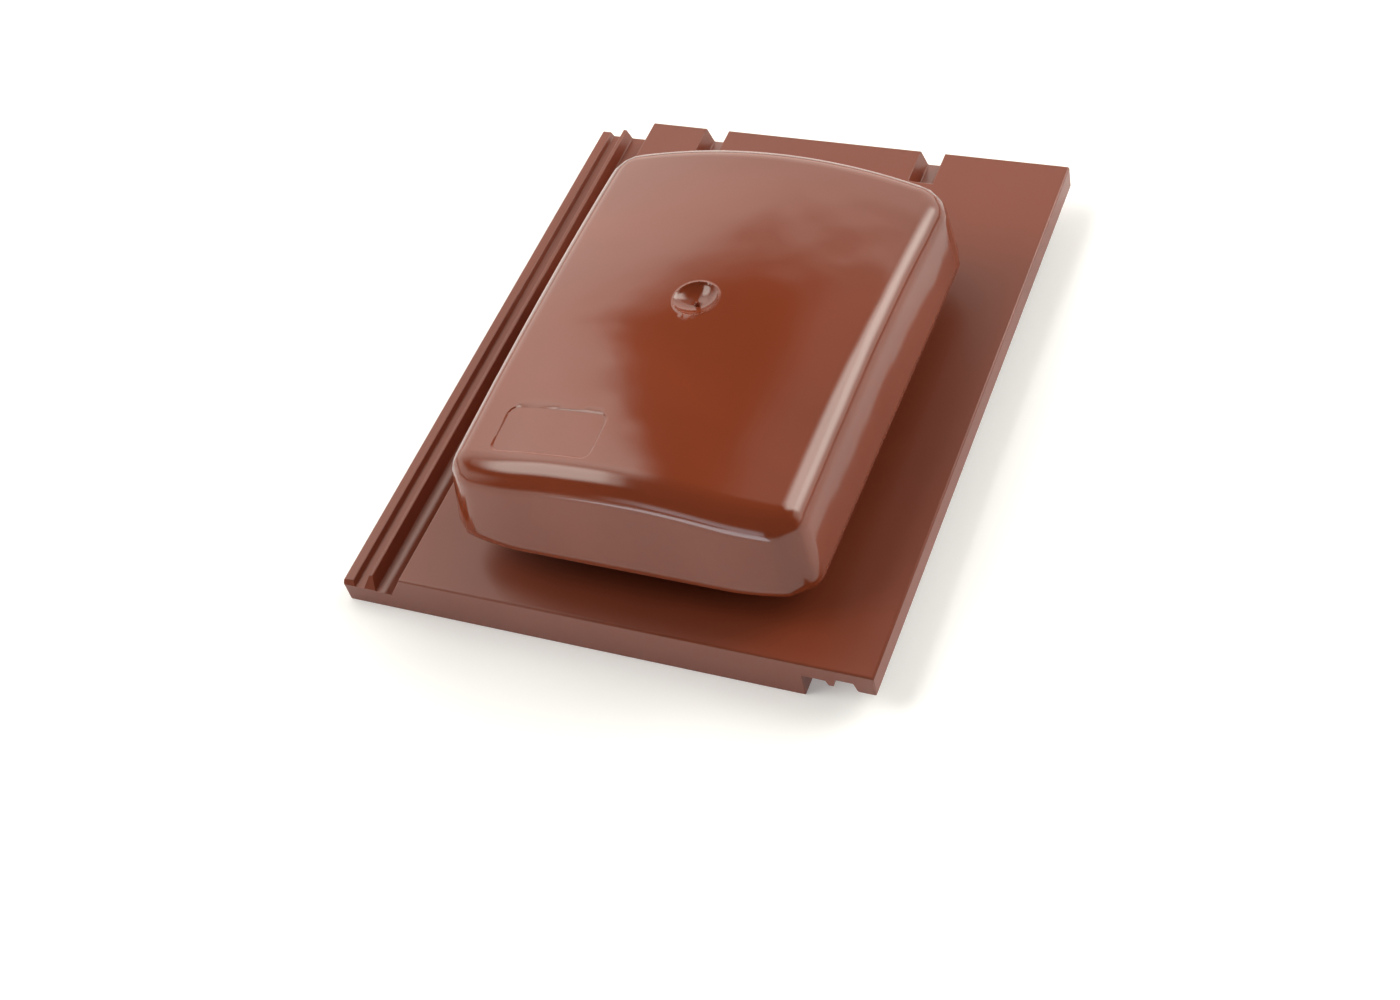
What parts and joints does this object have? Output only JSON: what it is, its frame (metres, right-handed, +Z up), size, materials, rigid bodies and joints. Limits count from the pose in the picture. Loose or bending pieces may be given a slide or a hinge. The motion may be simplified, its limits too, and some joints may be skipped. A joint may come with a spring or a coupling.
{
  "type": "roof tile vent",
  "caption": "Plastic interlocking roof tile with a raised domed rain hood over a grilled ventilation throat.",
  "frame": {"origin": "middle of the tile's footprint, on the plane that the tile lies on", "axes": "+X across the tile towards the underlock edge, +Y up the roof from the nose to the head, +Z up out of the roof"},
  "size_m": [0.344, 0.418, 0.1234],
  "materials": {
    "brown_plastic": "gloss"
  },
  "bodies": {
    "root": {"tile_base": "brown_plastic", "hood": "brown_plastic"}
  },
  "joints": []
}
